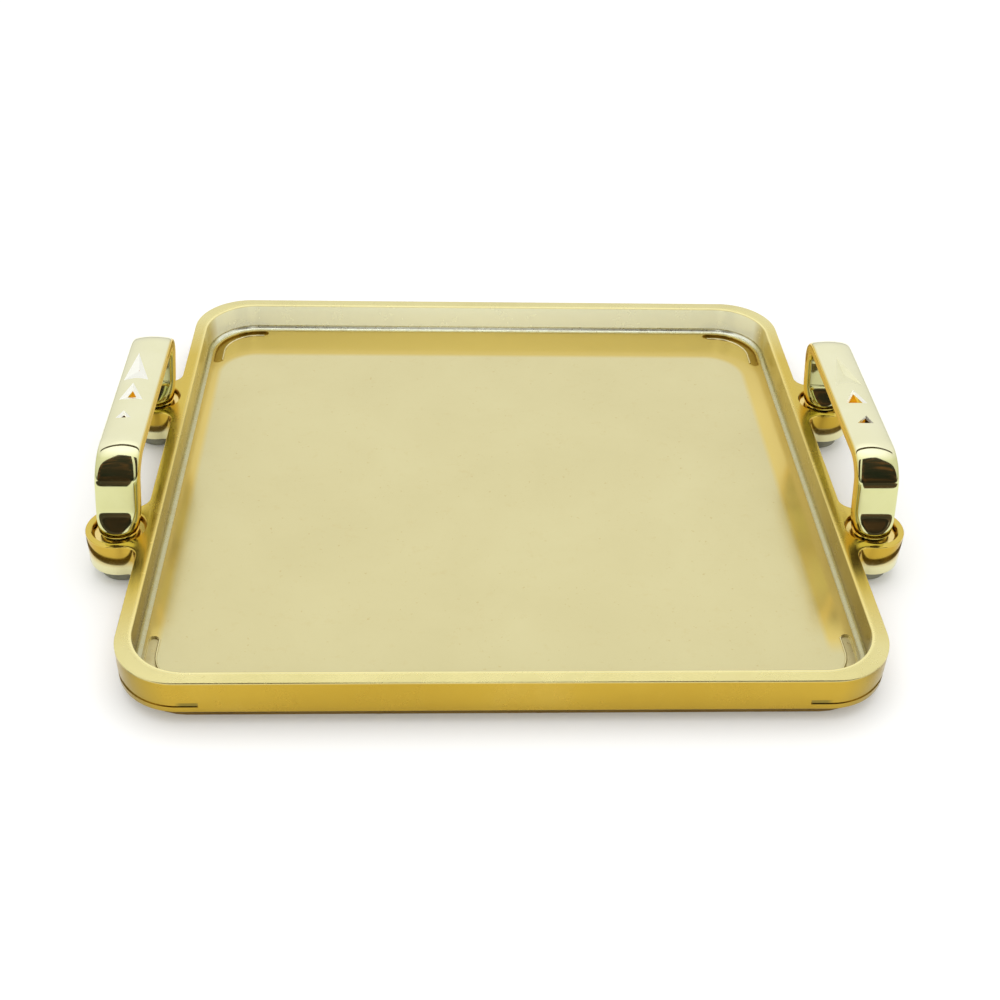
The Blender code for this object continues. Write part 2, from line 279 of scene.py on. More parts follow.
# ---------------------------------------------------------------- materials
class Nodes:
    """Short names for building one material's node tree."""

    def __init__(self, name):
        self.material = bpy.data.materials.new(name)
        self.material.use_nodes = True
        self.tree = self.material.node_tree
        self.shader = self.tree.nodes["Principled BSDF"]
        coordinates = self.add("ShaderNodeTexCoord")
        self.place = coordinates.outputs["Object"]
        self.facing = coordinates.outputs["Normal"]

    def add(self, kind, **settings):
        node = self.tree.nodes.new(kind)
        for key, value in settings.items():
            setattr(node, key, value)
        return node

    def link(self, source, target):
        self.tree.links.new(source, target)

    def noise(self, scale, detail=4.0, rough=0.5, stretch=(1, 1, 1), shift=(0, 0, 0), distortion=0.0):
        mapping = self.add("ShaderNodeMapping")
        mapping.inputs["Scale"].default_value = stretch
        mapping.inputs["Location"].default_value = shift
        self.link(self.place, mapping.inputs["Vector"])
        node = self.add("ShaderNodeTexNoise")
        node.inputs["Scale"].default_value = scale
        node.inputs["Detail"].default_value = detail
        node.inputs["Roughness"].default_value = rough
        node.inputs["Distortion"].default_value = distortion
        self.link(mapping.outputs["Vector"], node.inputs["Vector"])
        return node.outputs["Fac"]

    def ramp(self, source, stops):
        node = self.add("ShaderNodeValToRGB")
        while len(node.color_ramp.elements) < len(stops):
            node.color_ramp.elements.new(0.5)
        for element, (position, color) in zip(node.color_ramp.elements, stops):
            element.position = position
            element.color = (*color, 1.0)
        self.link(source, node.inputs["Fac"])
        return node.outputs["Color"]

    def span(self, source, low, high, out_low, out_high):
        node = self.add("ShaderNodeMapRange")
        keys = ("From Min", "From Max", "To Min", "To Max")
        for key, value in zip(keys, (low, high, out_low, out_high)):
            node.inputs[key].default_value = value
        self.link(source, node.inputs["Value"])
        return node.outputs["Result"]

    def math(self, operation, a, b=0.0):
        node = self.add("ShaderNodeMath", operation=operation)
        for socket, value in zip(node.inputs, (a, b)):
            if isinstance(value, (int, float)):
                socket.default_value = value
            else:
                self.link(value, socket)
        return node.outputs["Value"]

    def mix(self, factor, a, b):
        node = self.add("ShaderNodeMix", data_type="RGBA")
        for socket, value in ((node.inputs[0], factor), (node.inputs[6], a), (node.inputs[7], b)):
            if isinstance(value, (int, float)):
                socket.default_value = value
            elif isinstance(value, tuple):
                socket.default_value = (*value, 1.0)
            else:
                self.link(value, socket)
        return node.outputs[2]

    def across(self, axis):
        """How far a point is from the tray's middle along one axis, either way."""
        split = self.add("ShaderNodeSeparateXYZ")
        self.link(self.vector("ABSOLUTE", self.place), split.inputs["Vector"])
        return split.outputs[axis]

    def along(self, axis):
        split = self.add("ShaderNodeSeparateXYZ")
        self.link(self.place, split.inputs["Vector"])
        return split.outputs[axis]

    def vector(self, operation, a, b=(0.0, 0.0, 0.0)):
        node = self.add("ShaderNodeVectorMath", operation=operation)
        self.link(a, node.inputs[0])
        node.inputs[1].default_value = b
        return node.outputs["Value" if operation == "LENGTH" else "Vector"]

    def facing_tray(self):
        """1 on a handle's side that faces the middle of the tray and 0 on its other sides."""
        side = self.math("SIGN", self.along("X"))
        normal = self.add("ShaderNodeSeparateXYZ")
        self.link(self.facing, normal.inputs["Vector"])
        return self.span(self.math("MULTIPLY", side, normal.outputs["X"]), -0.80, -0.45, 1.0, 0.0)

    def reach(self):
        """How far a point lies outside the rectangle between the centres of the inner corner curves."""
        past = self.vector("SUBTRACT", self.vector("ABSOLUTE", self.place), (*CORNER_CENTRE, 1.0))
        return self.vector("LENGTH", self.vector("MAXIMUM", past))

    def inside_wall(self):
        """1 on the wall that faces into the tray and 0 on the rest of the rail."""
        return self.span(self.reach(), INNER_CORNER + 0.0005, INNER_CORNER + 0.0020, 1.0, 0.0)

    def bump(self, height, strength, distance, base=None):
        node = self.add("ShaderNodeBump")
        node.inputs["Strength"].default_value = strength
        node.inputs["Distance"].default_value = distance
        self.link(height, node.inputs["Height"])
        if base is not None:
            self.link(base, node.inputs["Normal"])
        return node.outputs["Normal"]

    def finish(self, color, roughness, normal=None, metallic=1.0):
        self.link(color, self.shader.inputs["Base Color"])
        self.link(roughness, self.shader.inputs["Roughness"])
        self.shader.inputs["Metallic"].default_value = metallic
        if normal is not None:
            self.link(normal, self.shader.inputs["Normal"])
        return self.material


def groove_shade_mask(n):
    """1 on the straight ends of the outside corner grooves' bottoms and 0 on the rest of the rail."""
    reach = n.reach()
    outer = INNER_CORNER + RAIL_THICK
    past_wall = n.span(reach, INNER_CORNER + 0.0030, INNER_CORNER + 0.0035, 0.0, 1.0)
    below_skin = n.span(reach, outer - 0.0004, outer - 0.0001, 1.0, 0.0)
    low, high = GROOVE_BOTTOM, GROOVE_BOTTOM + GROOVE_HEIGHT
    above_low = n.span(n.along("Z"), low - 0.0002, low, 0.0, 1.0)
    below_high = n.span(n.along("Z"), high, high + 0.0002, 1.0, 0.0)
    sunk = n.math("MULTIPLY", past_wall, below_skin)
    return n.math("MULTIPLY", sunk, n.math("MULTIPLY", above_low, below_high))


def satin_brass():
    """The rail: gold outside; painted reflection as cream on the end walls and olive gold on the side
    walls; a painted highlight on the brighter top.
    """
    n = Nodes("satin_brass")
    cloud = n.noise(9.0, 5.0, 0.6)
    gold = ((0.30, (0.50, 0.325, 0.037)), (0.55, (0.545, 0.362, 0.045)), (0.8, (0.60, 0.415, 0.075)))
    outside = n.ramp(cloud, gold)
    # Painted reflection: the end walls inside are cream, and the side walls olive gold, darker towards the
    # front and lighter amber towards the back.
    ends = n.ramp(cloud, ((0.30, (0.93, 0.94, 0.72)), (0.7, (0.965, 0.975, 0.76))))
    olive = ((0.34, (0.12, 0.080, 0.008)), (0.45, (0.19, 0.13, 0.018)), (0.7, (0.28, 0.21, 0.045)))
    amber = ((0.34, (0.46, 0.34, 0.06)), (0.45, (0.60, 0.47, 0.11)), (0.7, (0.68, 0.55, 0.17)))
    flanks_near, flanks_far = n.ramp(cloud, olive), n.ramp(cloud, amber)
    flanks = n.mix(n.span(n.along("Y"), -0.13, 0.13, 0.0, 1.0), flanks_near, flanks_far)
    inner_wall = n.inside_wall()
    inside = n.mix(n.span(n.across("X"), 0.1875, 0.1918, 0.0, 1.0), ends, flanks)
    # Painted highlight: the top of the rail is paler than its sides.
    highlight_noise = n.noise(25.0, 5.0, 0.65, shift=(6, 2, 4))
    top_highlight = n.ramp(highlight_noise, ((0.3, (0.77, 0.69, 0.31)), (0.7, (0.83, 0.75, 0.36))))
    # Painted reflection: the outside of the front corners is darkened towards olive.
    outward = n.span(n.across("X"), 0.1700, 0.1960, 0.0, 0.8)
    corner_dark_reflection = n.math("MULTIPLY", outward, n.span(n.along("Y"), -0.172, -0.150, 1.0, 0.0))
    outside = n.mix(corner_dark_reflection, outside, (0.29, 0.225, 0.045))
    # Painted reflection: the lower part of each lug's side is pale cream.
    on_lug = n.span(n.across("X"), 0.2020, 0.2040, 0.0, 1.0)
    lug_pale_reflection = n.math("MULTIPLY", on_lug, n.span(n.along("Z"), 0.0135, 0.0195, 1.0, 0.0))
    outside = n.mix(lug_pale_reflection, outside, (0.80, 0.76, 0.44))
    color = n.mix(inner_wall, outside, inside)
    # Painted shade: the bottoms of the outside corner grooves are darkened.
    color = n.mix(groove_shade_mask(n), color, (0.28, 0.21, 0.04))
    # The top takes the painted highlight, but near the lugs the side rims are a deeper gold, a painted
    # reflection of the grips.
    top = n.span(n.along("Z"), RAIL_TOP - 0.0011, RAIL_TOP - 0.0003, 0.0, 1.0)
    side_rim = n.span(n.across("X"), 0.186, 0.195, 0.0, 1.0)
    rim_handle_reflection = n.math("MULTIPLY", side_rim, n.span(n.across("Y"), 0.115, 0.165, 1.0, 0.0))
    color = n.mix(top, color, n.mix(rim_handle_reflection, top_highlight, (0.68, 0.51, 0.10)))
    spots = n.span(n.noise(260.0, 3.0, 0.6), 0.68, 0.76, 0.0, 0.20)
    spots = n.math("MULTIPLY", spots, n.math("SUBTRACT", 1.0, inner_wall))
    color = n.mix(spots, color, (0.45, 0.28, 0.07))
    rough = n.span(n.noise(40.0, 5.0, 0.65, shift=(3, 1, 2)), 0.3, 0.7, 0.19, 0.31)
    half = BODY_WIDTH / 2
    polish = n.span(n.across("X"), half + 0.0010, half + 0.0030, 1.0, 0.45)
    rough = n.math("MULTIPLY", rough, polish)
    normal = n.bump(n.noise(900.0, 2.0, 0.5), 0.04, 0.00006)
    normal = n.bump(n.noise(30.0, 2.0, 0.5, shift=(5, 5, 5)), 0.06, 0.0004, normal)
    metal = n.math("SUBTRACT", 1.0, n.math("MULTIPLY", inner_wall, 0.84))
    n.link(metal, n.shader.inputs["Metallic"])
    return n.finish(color, rough, normal)


def wall_reflection_mask(n):
    """1 along the back and side edges of the floor, round the back corners, fading out at the front; it
    places the walls' painted reflection.
    """
    off_centre = n.math("ABSOLUTE", n.math("ADD", n.along("X"), 0.004))
    beyond_x = n.math("MAXIMUM", n.math("SUBTRACT", off_centre, 0.154))
    beyond_y = n.math("MAXIMUM", n.math("SUBTRACT", n.along("Y"), 0.1215))
    square_x = n.math("MULTIPLY", beyond_x, beyond_x)
    square_y = n.math("MULTIPLY", beyond_y, beyond_y)
    distance = n.math("SQRT", n.math("ADD", square_x, square_y))
    margin = n.span(distance, 0.0222, 0.0258, 0.0, 1.0)
    return n.math("MULTIPLY", margin, n.span(n.along("Y"), -0.150, -0.138, 0.0, 1.0))


def floor_brass():
    """The floor: pale brass with mottles, specks and hair marks of wear, and a golden margin that is a
    painted reflection of the walls.
    """
    n = Nodes("floor_brass")
    cloud = n.noise(14.0, 6.0, 0.62, distortion=0.4)
    pale = ((0.28, (0.63, 0.57, 0.30)), (0.5, (0.65, 0.59, 0.315)), (0.75, (0.67, 0.615, 0.335)))
    color = n.ramp(cloud, pale)
    mottle = n.noise(150.0, 4.0, 0.7, shift=(2, 7, 1))
    color = n.mix(n.span(mottle, 0.58, 0.72, 0.0, 0.22), color, (0.58, 0.46, 0.20))
    specks = n.noise(420.0, 2.0, 0.5, shift=(9, 3, 4))
    color = n.mix(n.span(specks, 0.70, 0.76, 0.0, 0.4), color, (0.50, 0.35, 0.12))
    hair = n.noise(60.0, 3.0, 0.6, stretch=(1.0, 9.0, 1.0), distortion=1.5)
    color = n.mix(n.span(hair, 0.66, 0.72, 0.0, 0.2), color, (0.60, 0.48, 0.24))
    # Painted reflection of the walls: a gold margin round the floor, brighter towards the back.
    back = n.span(n.along("Y"), 0.08, 0.14, 0.0, 1.0)
    golden = n.mix(back, (0.74, 0.560, 0.135), (0.63, 0.47, 0.095))
    color = n.mix(n.math("MULTIPLY", wall_reflection_mask(n), 0.85), color, golden)
    rough = n.span(n.noise(55.0, 6.0, 0.7, shift=(1, 8, 3)), 0.3, 0.7, 0.13, 0.21)
    normal = n.bump(n.noise(700.0, 3.0, 0.6), 0.12, 0.00005)
    normal = n.bump(n.noise(22.0, 2.0, 0.5, shift=(4, 4, 4)), 0.06, 0.0006, normal)
    return n.finish(color, rough, normal, metallic=0.6)


def polished_brass():
    """The grips: mirror bright, with a paler painted highlight on the top and a deep gold painted
    reflection on the side that faces the tray.
    """
    n = Nodes("polished_brass")
    cloud = n.noise(30.0, 4.0, 0.6)
    leg = n.ramp(cloud, ((0.3, (0.63, 0.63, 0.30)), (0.7, (0.68, 0.68, 0.35))))
    top_highlight = n.ramp(cloud, ((0.3, (0.84, 0.82, 0.54)), (0.7, (0.88, 0.86, 0.60))))
    # Painted highlight: the top of each grip is paler.
    color = n.mix(n.span(n.along("Z"), HANDLE_TOP - 0.0050, HANDLE_TOP - 0.0022, 0.0, 1.0), leg, top_highlight)
    # Painted reflection: the side of each grip that faces the tray is deep gold.
    color = n.mix(n.facing_tray(), color, (0.80, 0.56, 0.09))
    smudge = n.noise(70.0, 5.0, 0.7, stretch=(1, 0.5, 1), shift=(3, 3, 1))
    rough = n.span(smudge, 0.35, 0.75, 0.035, 0.11)
    normal = n.bump(n.noise(60.0, 2.0, 0.5), 0.05, 0.0003)
    return n.finish(color, rough, normal)


def cut_brass(name, low, high, gloss):
    """A carved face, clouded between two colours."""
    n = Nodes(name)
    color = n.ramp(n.noise(300.0, 4.0, 0.6), ((0.3, low), (0.7, high)))
    rough = n.span(n.noise(500.0, 4.0, 0.6), 0.3, 0.7, *gloss)
    normal = n.bump(n.noise(900.0, 2.0, 0.5), 0.10, 0.00004)
    return n.finish(color, rough, normal)


def shaded_brass(name, first, second, blend, gloss):
    """Brass that passes from one colour to another by place; blend makes the factor from the nodes."""
    n = Nodes(name)
    color = n.mix(blend(n), first, second)
    color = n.mix(n.span(n.noise(260.0, 4.0, 0.6), 0.45, 0.75, 0.0, 0.3), color, (0.50, 0.36, 0.10))
    rough = n.span(n.noise(500.0, 4.0, 0.6), 0.3, 0.7, *gloss)
    normal = n.bump(n.noise(900.0, 2.0, 0.5), 0.10, 0.00004)
    return n.finish(color, rough, normal)


def front_to_back(n):
    return n.span(n.along("Y"), -0.10, 0.10, 0.0, 1.0)


def ends_to_sides(n):
    return n.span(n.across("X"), 0.1865, 0.1900, 0.0, 1.0)


def collar_brass():
    n = Nodes("collar_brass")
    color = n.ramp(n.noise(80.0, 4.0, 0.6), ((0.3, (0.80, 0.60, 0.20)), (0.7, (0.88, 0.71, 0.30))))
    rough = n.span(n.noise(200.0, 4.0, 0.6), 0.3, 0.7, 0.10, 0.24)
    normal = n.bump(n.noise(500.0, 2.0, 0.5), 0.10, 0.00005)
    return n.finish(color, rough, normal)


def grey_rubber():
    n = Nodes("grey_rubber")
    greys = ((0.3, (0.14, 0.14, 0.10)), (0.6, (0.22, 0.22, 0.16)), (0.8, (0.30, 0.30, 0.23)))
    color = n.ramp(n.noise(120.0, 5.0, 0.65), greys)
    rough = n.span(n.noise(90.0, 4.0, 0.6), 0.3, 0.7, 0.65, 0.85)
    normal = n.bump(n.noise(900.0, 3.0, 0.6), 0.25, 0.0001)
    return n.finish(color, rough, normal, metallic=0.0)


def zinc_steel():
    n = Nodes("zinc_steel")
    color = n.ramp(n.noise(150.0, 4.0, 0.6), ((0.3, (0.42, 0.41, 0.38)), (0.7, (0.60, 0.59, 0.56))))
    rough = n.span(n.noise(300.0, 4.0, 0.6), 0.3, 0.7, 0.28, 0.45)
    normal = n.bump(n.noise(800.0, 2.0, 0.5), 0.12, 0.00005)
    return n.finish(color, rough, normal)


SATIN, FLOOR, POLISHED = satin_brass(), floor_brass(), polished_brass()
COLLAR, RUBBER, STEEL = collar_brass(), grey_rubber(), zinc_steel()
# Painted shade and highlight: the floor grooves are pale at the front and dark gold at the back, their lips
# lighter at the back, and the seam pale cream along the end walls and darker along the sides.
GROOVE = shaded_brass("groove_brass", (0.72, 0.64, 0.34), (0.42, 0.28, 0.04), front_to_back, (0.26, 0.40))
LIP = shaded_brass("lip_brass", (0.74, 0.67, 0.38), (0.84, 0.74, 0.45), front_to_back, (0.16, 0.28))
SEAM = shaded_brass("seam_brass", (0.88, 0.90, 0.74), (0.56, 0.53, 0.31), ends_to_sides, (0.24, 0.36))
# Painted highlight on the carved bevels, painted shade in their deep middles, and the grip top's painted
# highlight on the faint triangles.
BRIGHT_CUT = cut_brass("bright_cut_brass", (0.98, 0.97, 0.87), (1.0, 1.0, 0.92), (0.28, 0.36))
FAINT_CUT = cut_brass("faint_cut_brass", (0.84, 0.82, 0.54), (0.88, 0.86, 0.60), (0.28, 0.36))
DEEP_CUT = cut_brass("deep_cut_brass", (0.62, 0.36, 0.03), (0.78, 0.50, 0.07), (0.06, 0.16))


# ---------------------------------------------------------------- rail and floor
def rebate_outline(gap):
    """The rebate under the rail that the floor sheet lies in, less a gap all round."""
    reach = REBATE - RAIL_THICK - gap
    return rounded_rectangle(BODY_WIDTH / 2 + reach, BODY_DEPTH / 2 + reach, INNER_CORNER + REBATE - 0.002)


def make_rail():
    """The rail: rebated below for the floor, bored and recessed at the lugs, grooved at the corners."""
    inner = rounded_rectangle(BODY_WIDTH / 2 - RAIL_THICK, BODY_DEPTH / 2 - RAIL_THICK, INNER_CORNER)
    rail = prism("rail_blank", [rail_outline(), inner], RAIL_BOTTOM, RAIL_TOP, EASED, 3)
    cutters = [prism("cut_rebate", [rebate_outline(0.0)], RAIL_BOTTOM - 0.001, FLOOR_TOP + GAP)]
    chamfer = 0.0005
    groove_centre = (BODY_WIDTH / 2 - OUTER_CORNER, BODY_DEPTH / 2 - OUTER_CORNER)
    for _, sx in SIDES:
        for _, sy in ENDS:
            x, y = sx * LUG_X, sy * LUG_Y
            hole = [
                (0, RAIL_BOTTOM - 0.001), (BORE, RAIL_BOTTOM - 0.001), (BORE, RECESS_FLOOR),
                (RECESS_RADIUS, RECESS_FLOOR), (RECESS_RADIUS, RAIL_TOP - chamfer),
                (RECESS_RADIUS + chamfer, RAIL_TOP), (RECESS_RADIUS + chamfer, RAIL_TOP + 0.001),
                (0, RAIL_TOP + 0.001),
            ]
            cutters.append(turned("cut_hole", x, y, hole, 96))
            radii = (OUTER_CORNER - GROOVE_DEPTH, OUTER_CORNER + 0.0037)
            band = corner_band(sx, sy, groove_centre, radii, (GROOVE_RUN, GROOVE_RUN))
            cutters.append(prism("cut_groove", [band], GROOVE_BOTTOM, GROOVE_BOTTOM + GROOVE_HEIGHT))
    rail = carve(rail, cutters, "rail")
    return piece(rail, SATIN, "gallery_rail")


def make_floor():
    """The floor sheet, with a blind groove in each corner whose rim is broken by a small step."""
    grooves = []
    for _, sx in SIDES:
        for _, sy in ENDS:
            for widen, depth in ((0.0, SLOT_DEPTH), (RIM_STEP, RIM_STEP)):
                radii = (SLOT_RADII[0] - widen, SLOT_RADII[1] + widen)
                band = corner_band(sx, sy, CORNER_CENTRE, radii, SLOT_RUNS)
                grooves.append(prism("cut_groove", [band], FLOOR_TOP - depth, FLOOR_TOP + 0.001))
    blank = prism("sheet_blank", [rebate_outline(GAP)], RAIL_BOTTOM, FLOOR_TOP, 0.0003)
    sheet = carve(blank, grooves, "tray_floor")
    piece(sheet, FLOOR, "floor_sheet")
    sheet.data.materials.append(GROOVE)
    for face in sheet.data.polygons:
        x, y, z = face.center
        corner = abs(x) > CORNER_CENTRE[0] - 0.008 and abs(y) > CORNER_CENTRE[1] - 0.015
        if corner and RAIL_BOTTOM + 0.0005 < z < FLOOR_TOP - 0.0002:
            face.material_index = 1


def make_lips():
    """The rolled lip along the inner edge of each corner groove."""
    radius = SLOT_RADII[0] - 0.0007
    path = [(-SLOT_RUNS[0], radius)] + arc(0, 0, radius, 90, 0, 24) + [(radius, -SLOT_RUNS[1])]
    for side, sx in SIDES:
        for end, sy in ENDS:
            curve = bpy.data.curves.new("lip", "CURVE")
            curve.dimensions = "3D"
            curve.bevel_depth = LIP_RADIUS
            curve.bevel_resolution = 4
            curve.use_fill_caps = True
            spline = curve.splines.new("POLY")
            spline.points.add(len(path) - 1)
            for point, (x, y) in zip(spline.points, path):
                place = (sx * (CORNER_CENTRE[0] + x), sy * (CORNER_CENTRE[1] + y))
                point.co = (*place, FLOOR_TOP + 0.0001, 1.0)
            made = baked(link("lip", curve), "groove_lip_" + end + "_" + side)
            piece(made, LIP, sharp=40)


def make_seam():
    """The small concave fillet of solder that runs round the foot of the rail, inside the tray."""
    radius = SEAM_RADIUS
    sink = 0.0001
    inset = 0.01
    half_x, half_y = BODY_WIDTH / 2 - RAIL_THICK, BODY_DEPTH / 2 - RAIL_THICK
    path = rounded_rectangle(half_x, half_y, INNER_CORNER)
    centres = rounded_rectangle(half_x - inset, half_y - inset, INNER_CORNER - inset)
    section = [(-sink, -sink), (radius, -sink)]
    for step in range(11):
        angle = math.radians(270 - 9 * step)
        section.append((radius + radius * math.cos(angle), radius + radius * math.sin(angle)))
    section.append((-sink, radius))
    points, faces = [], []
    for outer, inner in zip(path, centres):
        inward = Vector((inner[0] - outer[0], inner[1] - outer[1])).normalized()
        for across, up in section:
            points.append((outer[0] + inward.x * across, outer[1] + inward.y * across, FLOOR_TOP + up))
    size, count = len(section), len(path)
    for i in range(count):
        k = (i + 1) % count
        for j in range(size):
            m = (j + 1) % size
            faces.append((i * size + j, k * size + j, k * size + m, i * size + m))
    mesh = bpy.data.meshes.new("seam_fillet")
    mesh.from_pydata(points, [], faces)
    tidy(mesh)
    return piece(link("seam_fillet", mesh), SEAM)


# ---------------------------------------------------------------- handles
def handle_path():
    """Stations along one staple from its front foot to its back foot.

    Each holds the centre, the outward direction, the thickness, the share of the foot's shape and
    the inset of its rounded end, with places and directions as (y, z).
    """
    radius = BEND_RADIUS - HANDLE_THICK / 2
    bend_y = HANDLE_REACH - BEND_RADIUS
    bend_z = HANDLE_TOP - BEND_RADIUS
    stations = []
    rounding = FOOT_ROUNDING
    turns = np.radians([0, 18, 36, 54, 72, 90])
    heights = [LEG_BOTTOM + rounding * (1 - math.cos(t)) for t in turns]
    heights += list(np.linspace(LEG_BOTTOM + rounding, bend_z, 34))[1:-1]
    for z in heights:
        up = min((z - LEG_BOTTOM) / LEG_FLARE, 1.0)
        share = 1 - up * up * (3 - 2 * up)
        over = max(0.0, 1 - (z - LEG_BOTTOM) / rounding)
        inset = rounding * (1 - math.sqrt(max(0.0, 1 - over * over)))
        thick = HANDLE_THICK + (LEG_FOOT_THICK - HANDLE_THICK) * share
        stations.append(((-LUG_Y, z), (-1.0, 0.0), thick, share, inset))
    for angle in np.radians(np.linspace(180, 90, 22)):
        out = (math.cos(angle), math.sin(angle))
        centre = (-bend_y + radius * out[0], bend_z + radius * out[1])
        stations.append((centre, out, HANDLE_THICK, 0.0, 0.0))
    for y in np.linspace(-bend_y, 0.0, 34)[1:]:
        stations.append(((y, HANDLE_TOP - HANDLE_THICK / 2), (0.0, 1.0), HANDLE_THICK, 0.0, 0.0))
    for (y, z), (oy, oz), thick, share, inset in stations[-2::-1]:
        stations.append(((-y, z), (-oy, oz), thick, share, inset))
    return stations


def handle_section(thick, share, inset, level):
    """One cross-section as (across, outward): a crowned strap that becomes a round-sided column."""
    half_w = HANDLE_WIDTH / 2 * (1 - LEG_NARROWING * share) - inset
    half_t = thick / 2 - inset
    power = GRIP_SQUARENESS + (FOOT_SQUARENESS - GRIP_SQUARENESS) * share
    crown = HANDLE_CROWN * max(0.0, level) ** 3
    points = []
    for step in range(SECTION_STEPS):
        angle = 2 * math.pi * (step + 0.5) / SECTION_STEPS
        c, s = math.cos(angle), math.sin(angle)
        size = (abs(c) ** power + abs(s) ** power) ** (-1 / power)
        x, t = half_w * size * c, half_t * size * s
        lower = crown * (x / half_w) ** 2
        t -= lower * (1 - (1 - s) ** 1.6) if s > 0 else -0.28 * lower * s
        points.append((x, t))
    return points


def carved_cutter(tip_y, base_y, width, core, shift, lean):
    """One carved triangle that follows the crowned top: a shallow bevel round a steeper middle."""
    steps = 8
    middle = tip_y * 0.36 + base_y * 0.64
    # The base bows out along the grip.
    bow = 1.4 * HANDLE_CROWN * (width / HANDLE_WIDTH) ** 2
    corners = ((lean, tip_y), (-width / 2, base_y), (width / 2, base_y))
    outline = []
    for edge, ((x0, y0), (x1, y1)) in enumerate(zip(corners, corners[1:] + corners[:1])):
        for i in range(steps):
            t = i / steps
            sag = bow * 4 * t * (1 - t) if edge == 1 else 0.0
            outline.append((x0 + (x1 - x0) * t, y0 + (y1 - y0) * t - sag))
    slope = (1.0 - core) / BEVEL_DEPTH

    def crowned(across, along, rise):
        crown = HANDLE_CROWN * (across / (HANDLE_WIDTH / 2)) ** 2
        return (across, along, HANDLE_TOP - crown + rise)

    points = []
    for scale, rise in ((1.0 + CUTTER_RISE * slope, CUTTER_RISE), (core, -BEVEL_DEPTH)):
        points += [crowned(shift + x * scale, middle + (y - middle) * scale, rise) for x, y in outline]
    points.append(crowned(shift, middle, CUTTER_RISE))
    points.append(crowned(shift, middle, -BEVEL_DEPTH - CORE_DEPTH * core))
    size = len(outline)
    faces = []
    for i in range(size):
        j = (i + 1) % size
        faces.append((2 * size, i, j))
        faces.append((j, i, size + i))
        faces.append((j, size + i, size + j))
        faces.append((size + j, size + i, 2 * size + 1))
    mesh = bpy.data.meshes.new("cut_carved")
    mesh.from_pydata(points, [], faces)
    tidy(mesh, 0.0000001)
    return link("cut_carved", mesh)


def make_handle(side, sx):
    """One staple, carved, leant inwards and stood on its two lugs."""
    points, faces = [], []
    stations = handle_path()
    for (y, z), (oy, oz), thick, share, inset in stations:
        for across, out in handle_section(thick, share, inset, oz):
            points.append((across, y + oy * out, z + oz * out))
    size, count = SECTION_STEPS, len(stations)
    for i in range(count - 1):
        for j in range(size):
            k = (j + 1) % size
            faces.append((i * size + j, i * size + k, (i + 1) * size + k, (i + 1) * size + j))
    faces.append(tuple(range(size)))
    faces.append(tuple((count - 1) * size + j for j in range(size)))
    mesh = bpy.data.meshes.new("handle_blank")
    mesh.from_pydata(points, [], faces)
    tidy(mesh)
    blank = link("handle_blank", mesh)
    handle = carve(blank, [carved_cutter(*cut) for cut in CARVED[side]], "grip_" + side)
    # Shallow carved faces take a painted highlight and deep ones a painted shade; those at the back of the
    # right grip take the top's painted highlight.
    cuts = []
    for face in handle.data.polygons:
        crown = HANDLE_CROWN * (face.center.x / (HANDLE_WIDTH / 2)) ** 2
        depth = HANDLE_TOP - crown - face.center.z
        inside = abs(face.center.x) < 0.0098 and abs(face.center.y) < 0.040
        faint = side == "right" and face.center.y > 0.008
        carved = inside and face.normal.z > 0.15 and depth > 0.00008
        cuts.append(0 if not carved else 3 if faint else 2 if depth > BEVEL_DEPTH else 1)
    lean = Matrix.Identity(4)
    lean[0][2] = -sx * HANDLE_LEAN
    lean[0][3] = sx * (LUG_X + HANDLE_LEAN * LEG_BOTTOM)
    handle.data.transform(lean)
    piece(handle, POLISHED, "handle_" + side, 15)
    for material in (BRIGHT_CUT, DEEP_CUT, FAINT_CUT):
        handle.data.materials.append(material)
    for face, index in zip(handle.data.polygons, cuts):
        face.material_index = index


# ---------------------------------------------------------------- fastenings and feet
def make_collar(name, node, x, y):
    ease = 0.0004
    profile = [
        (BORE, COLLAR_BOTTOM), (COLLAR_RADIUS - ease, COLLAR_BOTTOM), (COLLAR_RADIUS, COLLAR_BOTTOM + ease),
        (COLLAR_RADIUS, COLLAR_TOP - ease), (COLLAR_RADIUS - 0.4 * ease, COLLAR_TOP - 0.3 * ease),
        (COLLAR_RADIUS - ease, COLLAR_TOP), (BORE, COLLAR_TOP),
    ]
    return piece(turned(name, x, y, profile, 96), COLLAR, node)


def make_washer(name, node, x, y):
    low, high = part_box(node)
    ease = 0.0002
    profile = [
        (BORE, low.z), (WASHER_RADIUS - ease, low.z), (WASHER_RADIUS, low.z + ease),
        (WASHER_RADIUS, high.z - ease), (WASHER_RADIUS - ease, high.z), (BORE, high.z),
    ]
    return piece(turned(name, x, y, profile, 48), STEEL, node)


def make_foot(name, node, x, y):
    low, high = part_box(node)
    radius, ease = FOOT_RADIUS, 0.0011
    profile = [(FOOT_HOLLOW, low.z + 0.0004), (FOOT_HOLLOW + 0.0004, low.z)]
    profile += [
        (radius - ease + ease * math.sin(t) - 0.0005, low.z + ease * (1 - math.cos(t)))
        for t in np.radians([0, 22, 45, 67, 90])
    ]
    profile += [
        (radius, high.z - 0.0006), (radius - 0.0006, high.z), (BORE, high.z),
        (BORE, low.z + FOOT_FLOOR), (FOOT_HOLLOW, low.z + FOOT_FLOOR),
    ]
    return piece(turned(name, x, y, profile, 96), RUBBER, node)


